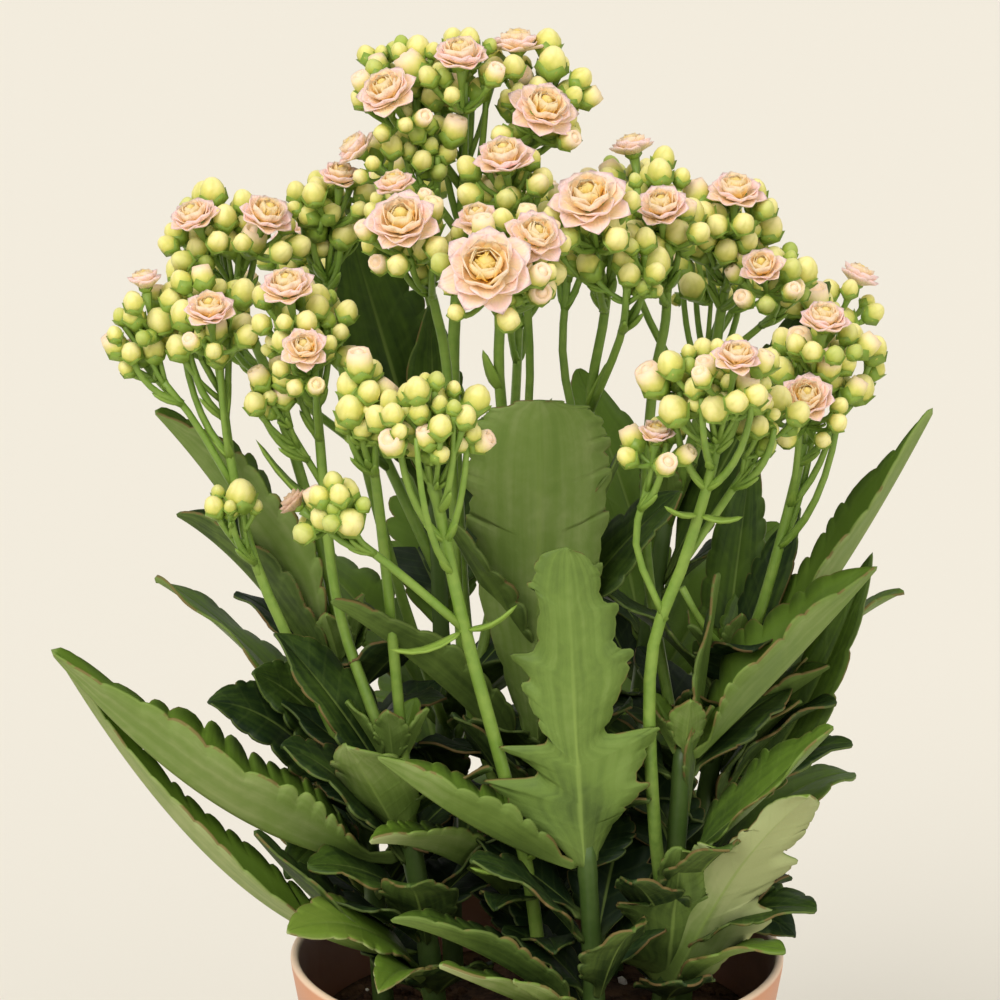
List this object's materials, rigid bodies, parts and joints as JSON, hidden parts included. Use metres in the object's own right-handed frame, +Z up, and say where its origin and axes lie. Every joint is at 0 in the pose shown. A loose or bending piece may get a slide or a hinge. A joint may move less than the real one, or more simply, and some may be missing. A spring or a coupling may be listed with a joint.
{
  "type": "potted kalanchoe",
  "caption": "Potted double-flowered kalanchoe: scalloped fleshy leaves, forked stalks with round buds and pale pink rosette flowers in a round nursery pot.",
  "frame": {"origin": "centre of the pot's foot, on the surface that it stands on", "axes": "+Z up; the picture looks along +Y, with +X to the right"},
  "size_m": [0.204, 0.1592, 0.3294],
  "materials": {
    "pot": "terracotta-coloured moulded plastic, pale worn lip",
    "soil": "dark crumbly compost",
    "leaf": "fleshy satin green, paler underneath",
    "spray": "light green stalks with pale yellow-green buds",
    "petal": "soft pale pink petals with an apricot heart"
  },
  "bodies": {
    "root": {"pot": "pot", "soil": "soil", "leafy_stem_left_front": "leaf", "leafy_stem_front": "leaf", "leafy_stem_right_front": "leaf", "leafy_stem_right": "leaf", "leafy_stem_back_right": "leaf", "leafy_stem_back_left": "leaf", "leafy_stem_left": "leaf", "leafy_stem_centre": "leaf", "spray_front": "spray", "spray_front_left": "spray", "spray_left": "spray", "spray_left_mid": "spray", "spray_upper_left": "spray", "spray_upper_left_back": "spray", "spray_top": "spray", "spray_centre_left": "spray", "spray_centre": "spray", "spray_centre_right": "spray", "spray_mid_right": "spray", "spray_upper_right": "spray", "spray_right_front": "spray", "spray_right": "spray", "spray_back_left": "spray", "spray_back": "spray", "spray_back_right": "spray", "flower_01": "petal", "flower_02": "petal", "flower_03": "petal", "flower_04": "petal", "flower_05": "petal", "flower_06": "petal", "flower_07": "petal", "flower_08": "petal", "flower_09": "petal", "flower_10": "petal", "flower_11": "petal", "flower_12": "petal", "flower_13": "petal", "flower_14": "petal", "flower_15": "petal", "flower_16": "petal", "flower_17": "petal", "flower_18": "petal", "flower_19": "petal", "flower_20": "petal", "flower_21": "petal", "flower_22": "petal", "flower_23": "petal", "flower_24": "petal", "flower_25": "petal", "flower_26": "petal", "flower_27": "petal", "flower_28": "petal", "flower_29": "petal", "flower_30": "petal", "flower_31": "petal", "flower_32": "petal", "flower_33": "petal"}
  },
  "joints": []
}
